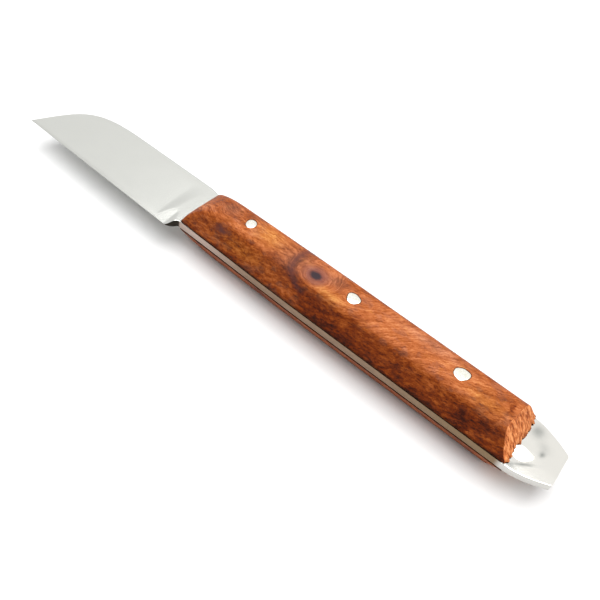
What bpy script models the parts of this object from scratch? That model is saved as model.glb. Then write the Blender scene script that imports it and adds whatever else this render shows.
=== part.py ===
"""Full-tang skiving knife lying flat on its side.

One steel blank (blade, tang and pry tail) between two wood scales, held by three peened pins.
Knife frame while modelling: +X from the tip to the tail, +Y from the cutting edge to the spine,
+Z up through the thickness. X = 0 is the front end of the scales and Z = 0 the middle of the tang.
The knife_frame empty then puts the origin at the bottom centre of the whole knife's box.
"""

import math

import bmesh
import bpy
from mathutils import Vector

MM = 0.001

# Driving dimensions, in metres.
GAP = 0.3 * MM                    # space between pieces that touch
TANG_THICKNESS = 2.2 * MM
HANDLE_LENGTH = 104.3 * MM
HANDLE_THICKNESS = 16.2 * MM      # over both crowns
FRONT_HALF_WIDTH = 7.9 * MM
HANDLE_HALF_WIDTH = 8.6 * MM      # from the end of the swell to the rear
SWELL_LENGTH = 45.0 * MM
CROWN_CORNER = 4.8 * MM           # half width where a scale's crown and side planes would meet
SHOULDER_RADIUS = 3.0 * MM        # round between the crown and the slanted sides

NOSE_LENGTH = 12.0 * MM           # rounded front end of each scale
NOSE_LAND = 0.2 * MM              # square step left at its very front
REAR_CHAMFER_LENGTH = 4.5 * MM    # slanted rear end of each scale

BLADE_LENGTH = 60.3 * MM
SPINE_HEIGHT = 9.0 * MM
TIP_DEPTH = 9.6 * MM              # the tip lies this far to the edge side
HEEL_DEPTH = 10.9 * MM
HEEL_SETBACK = 2.3 * MM           # the heel stands this far in front of the scales
SPINE_STEP_START = 3.8 * MM       # the spine steps down to the handle from here, in front of the scales
SPINE_STEP_END = 1.6 * MM         # to here, behind their front end
SPINE_STRAIGHT_END = 33.0 * MM    # the spine starts to drop this far in front of the scales
SPINE_PULL = (-53.0 * MM, 9.0 * MM)    # the two control points of the drop's cubic curve
TIP_PULL = (-54.0 * MM, 4.0 * MM)

PLUNGE_SETBACK = 7.0 * MM         # the flat grind stops here
PLUNGE_SLANT = 2.0 * MM           # length of the slope that ends it
GRIND_FADE_HEIGHT = 7.0 * MM      # where the grind at the plunge reaches the full thickness
EDGE_HALF_HEEL = 0.25 * MM        # half thickness behind the edge bevel, at the heel
EDGE_HALF_TIP = 0.13 * MM         # and at the tip
EDGE_LAND_HALF = 0.08 * MM        # half thickness of the edge itself
BEVEL_ANGLE = math.radians(10.5)  # edge bevel, measured from the blade's middle plane
BEVEL_REACH = 8.0 * MM            # how far its cutter spreads to each side of the edge

TAIL_LENGTH = 10.3 * MM
TAIL_END_HALF_WIDTH = 5.3 * MM
TAIL_SWEEP = 1.65                 # power of the curve along the tail's sides
TAIL_BEVEL_START = 4.0 * MM       # the tail thins from here, behind the scales
TAIL_END_THICKNESS = 0.9 * MM

PIN_POSITIONS = {
    "front_pin": (18.2 * MM, 0.4 * MM),
    "middle_pin": (52.8 * MM, -0.2 * MM),
    "rear_pin": (84.6 * MM, 0.2 * MM),
}
PIN_HEAD_RADII = {"front_pin": 1.5 * MM, "middle_pin": 1.75 * MM, "rear_pin": 1.9 * MM}
PIN_SHANK_RADIUS = 1.4 * MM
PIN_HEAD_DEPTH = 1.6 * MM         # length of the spread cone below each head
PIN_RECESS = 0.1 * MM             # each head stops this far below the crown
PIN_EDGE_ROUND = 0.15 * MM

CUTTER_REACH = 20.0 * MM          # how far a cutter goes past the steel

# Worked out from the above.
TANG_HALF = TANG_THICKNESS / 2
SCALE_BASE = TANG_HALF + GAP
SCALE_HEIGHT = HANDLE_THICKNESS / 2 - SCALE_BASE
TIP_X = -BLADE_LENGTH
TAIL_X = HANDLE_LENGTH + TAIL_LENGTH

# Mesh density.
CURVE_STEPS = 16
STEP_STEPS = 6
SHOULDER_STEPS = 8
HANDLE_STEPS = 14
PIN_SIDES = 32


def clear_scene():
    for obj in list(bpy.data.objects):
        bpy.data.objects.remove(obj, do_unlink=True)


def material(name, color, roughness, metallic):
    made = bpy.data.materials.new(name)
    made.use_nodes = True
    shader = made.node_tree.nodes["Principled BSDF"]
    shader.inputs["Base Color"].default_value = (*color, 1.0)
    shader.inputs["Roughness"].default_value = roughness
    shader.inputs["Metallic"].default_value = metallic
    made.diffuse_color = (*color, 1.0)
    return made


def add_object(name, bm, parent, surface=None):
    """Turn a bmesh into a scene object with outward faces."""
    bmesh.ops.recalc_face_normals(bm, faces=bm.faces)
    mesh = bpy.data.meshes.new(name)
    bm.to_mesh(mesh)
    bm.free()
    obj = bpy.data.objects.new(name, mesh)
    bpy.context.scene.collection.objects.link(obj)
    obj.parent = parent
    if surface is not None:
        mesh.materials.append(surface)
        mesh.shade_smooth()
        mesh.set_sharp_from_angle(angle=math.radians(30))
    return obj


def cut(target, cutter):
    """Subtract a hidden cutter from the target."""
    cutter.hide_render = True
    cutter.display_type = "WIRE"
    boolean = target.modifiers.new(cutter.name, "BOOLEAN")
    boolean.operation = "DIFFERENCE"
    boolean.solver = "EXACT"
    boolean.object = cutter


def smoothstep(value):
    t = min(max(value, 0.0), 1.0)
    return t * t * (3.0 - 2.0 * t)


# The handle's outline, shared by the tang and both scales.

def handle_half_width(x):
    """Half of the handle's width at a distance x behind its front end."""
    swell = smoothstep(x / SWELL_LENGTH)
    return FRONT_HALF_WIDTH + (HANDLE_HALF_WIDTH - FRONT_HALF_WIDTH) * swell


# The steel blank.

def tip_curve():
    """The spine's drop to the tip: a cubic curve, from the straight spine to the tip."""
    start = Vector((-SPINE_STRAIGHT_END, SPINE_HEIGHT))
    end = Vector((TIP_X, -TIP_DEPTH))
    pull_start = Vector(SPINE_PULL)
    pull_end = Vector(TIP_PULL)
    points = []
    for step in range(CURVE_STEPS + 1):
        t = step / CURVE_STEPS
        s = 1.0 - t
        points.append(s ** 3 * start + 3 * s * s * t * pull_start + 3 * s * t * t * pull_end + t ** 3 * end)
    return points


def tail_side():
    """One side of the pry tail, from the scales to its square end, for +Y."""
    base = handle_half_width(HANDLE_LENGTH)
    points = []
    for step in range(1, CURVE_STEPS // 2 + 1):
        t = step / (CURVE_STEPS // 2)
        half_width = base - (base - TAIL_END_HALF_WIDTH) * t ** TAIL_SWEEP
        points.append(Vector((HANDLE_LENGTH + TAIL_LENGTH * t, half_width)))
    return points


def handle_side():
    """The handle's outline from front to rear, for +Y."""
    points = []
    for step in range(HANDLE_STEPS + 1):
        x = HANDLE_LENGTH * step / HANDLE_STEPS
        points.append(Vector((x, handle_half_width(x))))
    return points


def eased_step(start, end):
    """An S-shaped step in the outline, from start to end."""
    points = []
    for step in range(STEP_STEPS + 1):
        t = step / STEP_STEPS
        x = start[0] + (end[0] - start[0]) * t
        y = start[1] + (end[1] - start[1]) * smoothstep(t)
        points.append(Vector((x, y)))
    return points


def blank_outline():
    """The whole blank seen from above, counter-clockwise from the tip along the edge."""
    def mirrored(points):
        return [Vector((p.x, -p.y)) for p in points]

    tip_to_spine = list(reversed(tip_curve()))
    behind_front = handle_side()[1:]
    step_foot = (SPINE_STEP_END, handle_half_width(SPINE_STEP_END))
    outline = [tip_to_spine[0]]
    outline += eased_step((-HEEL_SETBACK, -HEEL_DEPTH), (0.0, -FRONT_HALF_WIDTH))
    outline += mirrored(behind_front)
    outline += mirrored(tail_side())
    outline += reversed(tail_side())
    outline += reversed(behind_front)
    outline += eased_step(step_foot, (-SPINE_STEP_START, SPINE_HEIGHT))
    outline += reversed(tip_to_spine[1:])
    return outline


def extruded_outline(points, bottom, top):
    bm = bmesh.new()
    base = bm.faces.new([bm.verts.new((p.x, p.y, bottom)) for p in points])
    grown = bmesh.ops.extrude_face_region(bm, geom=[base])
    raised = [item for item in grown["geom"] if isinstance(item, bmesh.types.BMVert)]
    bmesh.ops.translate(bm, verts=raised, vec=(0.0, 0.0, top - bottom))
    return bm


def hull(points):
    bm = bmesh.new()
    for point in points:
        bm.verts.new(point)
    bmesh.ops.convex_hull(bm, input=bm.verts)
    return bm


def grind_height(x, y):
    """Height of the blade's flat grind above its middle plane."""
    rise = (TANG_HALF - EDGE_HALF_HEEL) / (GRIND_FADE_HEIGHT + HEEL_DEPTH)
    run = BLADE_LENGTH - PLUNGE_SETBACK
    tip_at_plunge = EDGE_HALF_HEEL + rise * (HEEL_DEPTH - TIP_DEPTH)
    taper = (tip_at_plunge - EDGE_HALF_TIP) / run
    return EDGE_HALF_HEEL + rise * (y + HEEL_DEPTH) + taper * (x + PLUNGE_SETBACK)


def grind_cutter(side):
    """Solid that takes the flat grind off one face, with a slanted plunge at its rear."""
    front = TIP_X - CUTTER_REACH
    points = []
    for y in (-CUTTER_REACH, CUTTER_REACH):
        for x, rear in ((front, 0.0), (-PLUNGE_SETBACK, PLUNGE_SLANT)):
            points.append(Vector((x, y, side * grind_height(x, y))))
            points.append(Vector((x + rear, y, side * CUTTER_REACH / 2)))
    return hull(points)


def edge_bevel_cutter(side):
    """Solid that takes the edge bevel off one face, from the tip to the choil."""
    tip = Vector((TIP_X, -TIP_DEPTH))
    heel = Vector((-HEEL_SETBACK, -HEEL_DEPTH))
    along = (heel - tip).normalized()
    inward = Vector((-along.y, along.x))
    start = tip - along * CUTTER_REACH
    end = heel + along * (HEEL_SETBACK - GAP)
    points = []
    for place in (start, end):
        for across in (-BEVEL_REACH, BEVEL_REACH):
            spot = place + inward * across
            height = EDGE_LAND_HALF + across * math.tan(BEVEL_ANGLE)
            points.append(Vector((spot.x, spot.y, side * height)))
            points.append(Vector((spot.x, spot.y, side * CUTTER_REACH / 2)))
    return hull(points)


def tail_cutter(side):
    """Solid that thins one face of the pry tail towards its end."""
    start = HANDLE_LENGTH + TAIL_BEVEL_START
    drop = (TANG_THICKNESS - TAIL_END_THICKNESS) / 2 / (TAIL_X - start)
    points = []
    for y in (-CUTTER_REACH, CUTTER_REACH):
        for x in (start, TAIL_X + CUTTER_REACH):
            points.append(Vector((x, y, side * (TANG_HALF - drop * (x - start)))))
            points.append(Vector((x, y, side * CUTTER_REACH)))
    return hull(points)


# The wood scales.

def nose_height(x):
    """Height of a scale's crown above its base: an arc over the nose, then level."""
    rise = SCALE_HEIGHT - NOSE_LAND
    radius = (NOSE_LENGTH ** 2 + rise ** 2) / (2 * rise)
    before_level = max(NOSE_LENGTH - x, 0.0)
    return SCALE_HEIGHT - radius + math.sqrt(radius ** 2 - before_level ** 2)


def scale_section(x):
    """Section across a scale: slanted flat sides, round shoulders and a flat crown."""
    half_width = handle_half_width(x)
    height = nose_height(x)
    full_corner = CROWN_CORNER - (HANDLE_HALF_WIDTH - half_width) / 2
    lean = math.atan2(half_width - full_corner, SCALE_HEIGHT)
    turn = math.pi / 2 - lean
    radius = SHOULDER_RADIUS * height / SCALE_HEIGHT
    corner = half_width - math.tan(lean) * height
    crown_edge = corner - radius * math.tan(turn / 2)
    flank = [(half_width, 0.0)]
    for step in range(SHOULDER_STEPS + 1):
        angle = turn * (1 - step / SHOULDER_STEPS)
        flank.append((crown_edge + radius * math.sin(angle), height - radius + radius * math.cos(angle)))
    return [(-y, z) for y, z in flank] + [(y, z) for y, z in reversed(flank)]


def scale_stations():
    """Places along a scale where its section is drawn, closer together over the nose."""
    nose = [NOSE_LENGTH * (1 - math.cos(math.pi / 2 * k / SHOULDER_STEPS)) for k in range(SHOULDER_STEPS)]
    body = [NOSE_LENGTH + (HANDLE_LENGTH - NOSE_LENGTH) * k / HANDLE_STEPS for k in range(HANDLE_STEPS + 1)]
    return nose + body


def scale_mesh(side):
    """A scale on one face of the tang; side is +1 for the upper and -1 for the lower."""
    bm = bmesh.new()
    rings = []
    for x in scale_stations():
        rings.append([bm.verts.new((x, y, side * (SCALE_BASE + z))) for y, z in scale_section(x)])
    for ring, following in zip(rings, rings[1:]):
        count = len(ring)
        for k in range(count):
            after = (k + 1) % count
            bm.faces.new((ring[k], ring[after], following[after], following[k]))
    bm.faces.new(rings[0])
    bm.faces.new(rings[-1])
    bmesh.ops.recalc_face_normals(bm, faces=bm.faces)

    rear_foot = Vector((HANDLE_LENGTH, 0.0, side * SCALE_BASE))
    outward = Vector((SCALE_HEIGHT, 0.0, side * REAR_CHAMFER_LENGTH)).normalized()
    everything = bm.verts[:] + bm.edges[:] + bm.faces[:]
    sliced = bmesh.ops.bisect_plane(
        bm, geom=everything, plane_co=rear_foot, plane_no=outward, clear_outer=True
    )
    rim = [item for item in sliced["geom_cut"] if isinstance(item, bmesh.types.BMEdge)]
    bmesh.ops.contextual_create(bm, geom=[edge for edge in rim if edge.is_boundary])
    return bm


# The pins and their holes.

def pin_profile(head_radius, clearance):
    """Turned outline of a pin from its top to its bottom, grown by a clearance."""
    top = HANDLE_THICKNESS / 2 - PIN_RECESS
    neck = top - PIN_HEAD_DEPTH
    head = head_radius + clearance
    shank = PIN_SHANK_RADIUS + clearance
    if clearance > 0:
        upper = [(head, top + CUTTER_REACH / 4), (head, top - PIN_EDGE_ROUND), (shank, neck)]
    else:
        upper = [(head - PIN_EDGE_ROUND, top), (head, top - PIN_EDGE_ROUND), (shank, neck)]
    return upper + [(radius, -height) for radius, height in reversed(upper)]


def turned(profile, place):
    """Solid of revolution about the vertical line through a place, (x, y)."""
    bm = bmesh.new()
    rings = []
    for radius, height in profile:
        ring = []
        for side in range(PIN_SIDES):
            angle = 2 * math.pi * side / PIN_SIDES
            x = place[0] + radius * math.cos(angle)
            y = place[1] + radius * math.sin(angle)
            ring.append(bm.verts.new((x, y, height)))
        rings.append(ring)
    for ring, following in zip(rings, rings[1:]):
        for k in range(PIN_SIDES):
            after = (k + 1) % PIN_SIDES
            bm.faces.new((ring[k], ring[after], following[after], following[k]))
    bm.faces.new(rings[0])
    bm.faces.new(rings[-1])
    return bm


def build():
    clear_scene()
    steel = material("satin_steel", (0.78, 0.78, 0.75), 0.38, 1.0)
    rosewood = material("oiled_rosewood", (0.36, 0.12, 0.04), 0.42, 0.0)
    pin_metal = material("pin_metal", (0.86, 0.84, 0.78), 0.30, 1.0)

    knife_frame = bpy.data.objects.new("knife_frame", None)
    knife_frame.location = (
        -(TIP_X + TAIL_X) / 2,
        -(SPINE_HEIGHT - HEEL_DEPTH) / 2,
        HANDLE_THICKNESS / 2,
    )
    bpy.context.scene.collection.objects.link(knife_frame)

    blank = extruded_outline(blank_outline(), -TANG_HALF, TANG_HALF)
    blade_and_tang = add_object("blade_and_tang", blank, knife_frame, steel)
    for side, word in ((1, "upper"), (-1, "lower")):
        cut(blade_and_tang, add_object(f"{word}_grind_cutter", grind_cutter(side), knife_frame))
        cut(blade_and_tang, add_object(f"{word}_edge_cutter", edge_bevel_cutter(side), knife_frame))
        cut(blade_and_tang, add_object(f"{word}_tail_cutter", tail_cutter(side), knife_frame))

    upper_scale = add_object("upper_scale", scale_mesh(1), knife_frame, rosewood)
    lower_scale = add_object("lower_scale", scale_mesh(-1), knife_frame, rosewood)

    for name, place in PIN_POSITIONS.items():
        head_radius = PIN_HEAD_RADII[name]
        add_object(name, turned(pin_profile(head_radius, 0.0), place), knife_frame, pin_metal)
        hole = add_object(f"{name}_hole", turned(pin_profile(head_radius, GAP), place), knife_frame)
        for target in (blade_and_tang, upper_scale, lower_scale):
            cut(target, hole)


build()
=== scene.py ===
"""Looks for the skiving knife: refined steel, wood and pin meshes, their materials, light and camera."""

import math

import bmesh
import bpy
import numpy as np
from mathutils import Matrix, Vector, noise


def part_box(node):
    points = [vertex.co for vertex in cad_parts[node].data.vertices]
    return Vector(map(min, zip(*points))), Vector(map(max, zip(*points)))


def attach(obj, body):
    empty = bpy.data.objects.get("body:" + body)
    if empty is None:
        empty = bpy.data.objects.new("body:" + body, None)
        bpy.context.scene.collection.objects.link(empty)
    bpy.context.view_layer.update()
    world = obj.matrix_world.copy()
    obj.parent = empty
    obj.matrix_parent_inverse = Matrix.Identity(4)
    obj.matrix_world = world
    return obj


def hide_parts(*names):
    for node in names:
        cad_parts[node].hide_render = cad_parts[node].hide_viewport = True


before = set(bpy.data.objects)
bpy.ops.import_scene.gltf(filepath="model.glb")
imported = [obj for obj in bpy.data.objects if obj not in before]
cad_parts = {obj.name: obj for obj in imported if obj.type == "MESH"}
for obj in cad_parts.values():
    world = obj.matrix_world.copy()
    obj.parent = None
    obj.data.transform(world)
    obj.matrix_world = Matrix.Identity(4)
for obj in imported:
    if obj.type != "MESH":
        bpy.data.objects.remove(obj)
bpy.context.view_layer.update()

MM = 0.001

# ---------------------------------------------------------------- places read from the CAD frame

scale_low, scale_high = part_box("upper_scale")
blank_low, blank_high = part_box("blade_and_tang")

# Knife coordinates start where the scales begin, on the handle's middle line and middle plane.
ORIGIN = Vector((
    scale_low.x,
    (scale_low.y + scale_high.y) / 2,
    (blank_low.z + blank_high.z) / 2,
))
HANDLE_LENGTH = scale_high.x - scale_low.x
HANDLE_HALF_WIDTH = (scale_high.y - scale_low.y) / 2
TANG_HALF = (blank_high.z - blank_low.z) / 2
SCALE_BASE = scale_low.z - ORIGIN.z
CROWN_TOP = scale_high.z - ORIGIN.z
SCALE_HEIGHT = CROWN_TOP - SCALE_BASE
TIP_X = blank_low.x - ORIGIN.x
TAIL_X = blank_high.x - ORIGIN.x
SPINE_Y = blank_high.y - ORIGIN.y
HEEL_Y = blank_low.y - ORIGIN.y
TIP_RISE = 1.3 * MM            # of the cutting edge, between the heel and the tip
TIP_Y = HEEL_Y + TIP_RISE

FRONT_NARROWING = 0.7 * MM     # of each side of the handle, at its front
FRONT_HALF_WIDTH = HANDLE_HALF_WIDTH - FRONT_NARROWING
SWELL_LENGTH = 45.0 * MM
CROWN_CORNER = 4.8 * MM        # half width where the crown's and the sides' planes would meet
SHOULDER_RADIUS = 3.0 * MM     # and the round between them
NOSE_LENGTH = 12.0 * MM
NOSE_LAND = 0.2 * MM
REAR_CHAMFER_LENGTH = 4.5 * MM
HEEL_X = -2.3 * MM
SPINE_BEND_X = -33.0 * MM
SPINE_STEP_START = -3.8 * MM   # where the spine eases in to the handle's width
SPINE_STEP_END = 1.6 * MM


# ---------------------------------------------------------------- small maths helpers

def smoothstep(low, high, value):
    t = np.clip((value - low) / (high - low), 0.0, 1.0)
    return t * t * (3.0 - 2.0 * t)


def soft_min(a, b, radius):
    """The lower of two heights, with their crease rounded over a radius."""
    gap = np.clip(radius - np.abs(a - b), 0.0, None) / radius
    return np.minimum(a, b) - gap * gap * radius / 4


def soft_max(a, b, radius):
    return -soft_min(-a, -b, radius)


def grain_noise(x, y, z, scale):
    """Smooth repeatable noise between about -1 and 1."""
    return noise.noise(Vector((x, y, z)) / scale)


# ---------------------------------------------------------------- mesh helpers

def make_object(name, verts, faces):
    mesh = bpy.data.meshes.new(name)
    mesh.from_pydata([tuple(Vector(v) + ORIGIN) for v in verts], [], faces)
    mesh.validate()
    obj = bpy.data.objects.new(name, mesh)
    bpy.context.scene.collection.objects.link(obj)
    bm = bmesh.new()
    bm.from_mesh(mesh)
    bmesh.ops.recalc_face_normals(bm, faces=bm.faces)
    bm.to_mesh(mesh)
    bm.free()
    mesh.shade_smooth()
    return obj


def bridge_rings(rings, first, faces):
    """Quads between neighbouring closed rings of equal length; first is the first ring's start index."""
    count = len(rings[0])
    for r in range(len(rings) - 1):
        here = first + r * count
        there = here + count
        for k in range(count):
            after = (k + 1) % count
            faces.append((here + k, here + after, there + after, there + k))


def apply_modifiers(obj):
    """Bake the object's modifiers into its mesh."""
    depsgraph = bpy.context.evaluated_depsgraph_get()
    baked = bpy.data.meshes.new_from_object(obj.evaluated_get(depsgraph))
    obj.modifiers.clear()
    obj.data = baked


# ---------------------------------------------------------------- the steel blank

def handle_half_width(x):
    return FRONT_HALF_WIDTH + (HANDLE_HALF_WIDTH - FRONT_HALF_WIDTH) * smoothstep(0.0, SWELL_LENGTH, x)


TIP_PULL = (-54.0 * MM, 4.0 * MM)      # the two handles of the curve between the tip and the spine
SPINE_PULL = (-53.0 * MM, SPINE_Y)


def tip_curve(steps):
    """The spine's drop to the tip, as (x, y) pairs from the tip up to the straight spine."""
    start = np.array((TIP_X, TIP_Y))
    end = np.array((SPINE_BEND_X, SPINE_Y))
    pull_start = np.array(TIP_PULL)
    pull_end = np.array(SPINE_PULL)
    t = np.linspace(0.0, 1.0, steps)[:, None]
    s = 1.0 - t
    return s ** 3 * start + 3 * s * s * t * pull_start + 3 * s * t * t * pull_end + t ** 3 * end


TIP_OUTLINE = tip_curve(400)
TAIL_LENGTH = TAIL_X - HANDLE_LENGTH
TAIL_END_HALF_WIDTH = 5.3 * MM
TAIL_SWEEP = 1.65
TAIL_CORNER = 0.5 * MM


def tail_half_width(x):
    """Half width of the pry tail, with its two end corners rounded."""
    t = np.clip((x - HANDLE_LENGTH) / TAIL_LENGTH, 0.0, 1.0)
    half_width = HANDLE_HALF_WIDTH - (HANDLE_HALF_WIDTH - TAIL_END_HALF_WIDTH) * t ** TAIL_SWEEP
    into_corner = np.clip(x - (TAIL_X - TAIL_CORNER), 0.0, TAIL_CORNER)
    return half_width - TAIL_CORNER + math.sqrt(TAIL_CORNER ** 2 - into_corner ** 2)


def spine_side(x):
    """The blank's outline on the spine side at x."""
    if x < SPINE_BEND_X:
        return float(np.interp(x, TIP_OUTLINE[:, 0], TIP_OUTLINE[:, 1]))
    if x < SPINE_STEP_END:
        drop = float(smoothstep(SPINE_STEP_START, SPINE_STEP_END, x))
        return SPINE_Y - (SPINE_Y - FRONT_HALF_WIDTH) * drop
    if x < HANDLE_LENGTH:
        return float(handle_half_width(x))
    return float(tail_half_width(x))


def edge_line(x):
    """The straight cutting edge, carried on past the heel."""
    return TIP_Y + (HEEL_Y - TIP_Y) * (x - TIP_X) / (HEEL_X - TIP_X)


def edge_side(x):
    """The blank's outline on the cutting-edge side at x."""
    if x < HEEL_X:
        return edge_line(x)
    if x < 0.0:
        return HEEL_Y + (-FRONT_HALF_WIDTH - HEEL_Y) * float(smoothstep(HEEL_X, 0.0, x))
    if x < HANDLE_LENGTH:
        return -float(handle_half_width(x))
    return -float(tail_half_width(x))


EDGE_LAND_HALF = 0.06 * MM
EDGE_BEVEL_SLOPE = math.tan(math.radians(10.5))
BEVEL_FADE_START = HEEL_X - 0.5 * MM   # where the edge bevel runs out
BEVEL_FADE_END = 0.4 * MM
BEVEL_SOFTNESS = 0.06 * MM
GRIND_AT_HEEL = 0.26 * MM
GRIND_AT_TIP = 0.13 * MM
GRIND_FADE_Y = 7.0 * MM                # where the grind meets the full thickness
GRIND_SOFTNESS = 0.12 * MM
PLUNGE_X = -7.0 * MM
PLUNGE_LEAN = -0.09
PLUNGE_BEFORE = 0.6 * MM               # how far the plunge reaches before and past its line, at the heel
PLUNGE_PAST = 0.9 * MM
PLUNGE_SPREAD = 0.2                    # and how much more it reaches past it towards the spine


def blade_half_thickness(x, y):
    """Half thickness of the blade and tang: flat grind, soft plunge, edge bevel."""
    rise = (TANG_HALF - GRIND_AT_HEEL) / (GRIND_FADE_Y - HEEL_Y)
    taper = (GRIND_AT_HEEL + rise * (TIP_Y - HEEL_Y) - GRIND_AT_TIP) / (PLUNGE_X - TIP_X)
    ground = GRIND_AT_HEEL + rise * (y - HEEL_Y) + taper * (x - PLUNGE_X)
    ground = soft_min(ground, TANG_HALF, GRIND_SOFTNESS)
    plunge = PLUNGE_X + PLUNGE_LEAN * y
    fading = PLUNGE_PAST + PLUNGE_SPREAD * (y - HEEL_Y)
    unground = smoothstep(plunge - PLUNGE_BEFORE, plunge + fading, x)
    body = ground + (TANG_HALF - ground) * unground
    above_edge = y - edge_line(x)
    fade_out = smoothstep(BEVEL_FADE_START, BEVEL_FADE_END, x) * TANG_HALF
    bevel = EDGE_LAND_HALF + above_edge * EDGE_BEVEL_SLOPE + fade_out
    return soft_min(body, bevel, BEVEL_SOFTNESS)


TAIL_FAR_SLOPE = 0.14                  # of the ground faces on the spine side and on the edge side
TAIL_NEAR_SLOPE = 0.02
TAIL_SLOPE_BLEND = 3.0 * MM
TAIL_GRIND_SOFTNESS = 0.9 * MM
TAIL_FLAT_START = HANDLE_LENGTH + 0.6 * MM
TAIL_FLAT_END = 109.3 * MM
TAIL_FLAT_CORNER = 3.0 * MM
TAIL_FLAT_MIDDLE = -0.45 * MM
TAIL_FLAT_HALF_WIDTH = 6.45 * MM       # of the unground flat, where it leaves the wood
TAIL_FLAT_CONVERGE = math.radians(37.5)
BRIGHT_FACET = (105.3 * MM, -2.9 * MM)
BRIGHT_FACET_HEADING = (0.61, -0.79)
BRIGHT_FACET_SLOPE = 0.06
BRIGHT_FACET_RADII = (2.2 * MM, 3.5 * MM)      # where it begins to fade and where it has faded


def bright_facet(x, y):
    """A small facet by the wood that the wheel left tipped towards the edge side and the tail's end."""
    u, v = x - BRIGHT_FACET[0], y - BRIGHT_FACET[1]
    inside = 1.0 - smoothstep(*BRIGHT_FACET_RADII, np.hypot(u, v))
    return BRIGHT_FACET_SLOPE * (BRIGHT_FACET_HEADING[0] * u + BRIGHT_FACET_HEADING[1] * v) * inside


def tail_half_thickness(x, y):
    """Half thickness of the pry tail: a rounded flat tongue with ground slopes round it."""
    across = np.abs(y - TAIL_FLAT_MIDDLE) - TAIL_FLAT_HALF_WIDTH
    far = smoothstep(-TAIL_SLOPE_BLEND, TAIL_SLOPE_BLEND, y)
    slope = TAIL_NEAR_SLOPE + (TAIL_FAR_SLOPE - TAIL_NEAR_SLOPE) * far
    along = x - TAIL_FLAT_START
    side = across * math.cos(TAIL_FLAT_CONVERGE) + along * math.sin(TAIL_FLAT_CONVERGE)
    end = x - TAIL_FLAT_END
    outside = soft_max(side, end, TAIL_FLAT_CORNER)
    outside = soft_max(outside, 0.0, TAIL_GRIND_SOFTNESS)
    return TANG_HALF - slope * outside - bright_facet(x, y)


def half_thickness(x, y):
    if x < 1.0 * MM:
        return blade_half_thickness(x, y)
    if x < HANDLE_LENGTH - 1.0 * MM:
        return np.full_like(y, TANG_HALF)
    return tail_half_thickness(x, y)


def blank_stations():
    """Places along the blank where its section is drawn."""
    tip = tip_curve(70)[:, 0]
    tip[0] = TIP_X + 0.03 * MM
    blade = np.arange(SPINE_BEND_X + 0.8 * MM, PLUNGE_X - 1.5 * MM, 0.8 * MM)
    ricasso = np.linspace(PLUNGE_X - 1.5 * MM, HEEL_X - 0.2 * MM, 24)
    choil = np.linspace(HEEL_X - 0.04 * MM, 0.0, 14)
    handle = np.linspace(0.5 * MM, HANDLE_LENGTH - 1.0 * MM, 70)
    tail = np.linspace(HANDLE_LENGTH - 0.8 * MM, TAIL_X - TAIL_CORNER, 56)
    corner = TAIL_X - TAIL_CORNER * (1 - np.sin(np.linspace(0.12, 1.0, 8) * math.pi / 2))
    return np.concatenate((tip, blade, ricasso, choil, handle, tail, corner))


SECTION_STEPS = 56
SECTION_CROWDING = 0.35                # how much a section's points crowd towards its two sides
ARRIS_STEPS = 3
WALL_ROUND = 0.12 * MM                 # arris radius along the tang and the tail
SPINE_EXTRA_ROUND = 0.16 * MM          # how much larger it is along the blade's spine
KEEN_ROUND = 0.01 * MM                 # and what is left of it at the cutting edge
END_ROUND = 0.15 * MM                  # arris radius at the tail's square end
THINNEST = 0.012 * MM


def arris(radius, steps):
    """Quarter-round offsets (inward, downward) from a face's edge to its wall."""
    angles = np.linspace(0.0, math.pi / 2, steps + 1)[1:]
    return [(radius * (1 - math.sin(a)), radius * (1 - math.cos(a))) for a in angles]


def blank_section(x):
    """Closed section across the blank, from the edge side over the top to the spine side and back."""
    low, high = edge_side(x), spine_side(x)
    near_end = np.clip(x - (TAIL_X - END_ROUND), 0.0, END_ROUND)
    shrink = END_ROUND - math.sqrt(END_ROUND ** 2 - near_end ** 2)
    on_blade = 1.0 - float(smoothstep(HEEL_X - 0.3 * MM, HEEL_X + 0.6 * MM, x))
    spine_round = min(WALL_ROUND + SPINE_EXTRA_ROUND * on_blade, (high - low) / 4)
    edge_round = min(WALL_ROUND * (1 - on_blade) + KEEN_ROUND, (high - low) / 4)

    t = np.linspace(0.0, 1.0, SECTION_STEPS)
    spread = t - SECTION_CROWDING * np.sin(2 * math.pi * t) / (2 * math.pi)
    y = (low + edge_round) + (high - spine_round - low - edge_round) * spread
    z = half_thickness(x, y) - shrink

    top = [(float(b), float(c)) for b, c in zip(y, z)]
    spine_corner = [
        (high - inward, max(top[-1][1] - down, THINNEST))
        for inward, down in arris(spine_round, ARRIS_STEPS)
    ]
    edge_corner = [
        (low + inward, max(top[0][1] - down, THINNEST))
        for inward, down in arris(edge_round, ARRIS_STEPS)
    ]
    upper = list(reversed(edge_corner)) + top + spine_corner
    lower = [(b, -c) for b, c in reversed(upper)]
    return [(x, b, c) for b, c in upper + lower]


def make_blank():
    rings = [blank_section(float(x)) for x in blank_stations()]
    verts = [point for ring in rings for point in ring]
    faces = []
    bridge_rings(rings, 0, faces)
    count = len(rings[0])
    faces.append(tuple(range(count)))
    faces.append(tuple(range(len(verts) - count, len(verts))))
    return make_object("steel_blank", verts, faces)


# ---------------------------------------------------------------- the wood scales

SIDE_STEPS = 12          # along the flat side, up to its shoulder
SHOULDER_STEPS = 14
CROWN_STEPS = 44
NOSE_STEPS = 30
BODY_STEPS = 150

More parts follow.
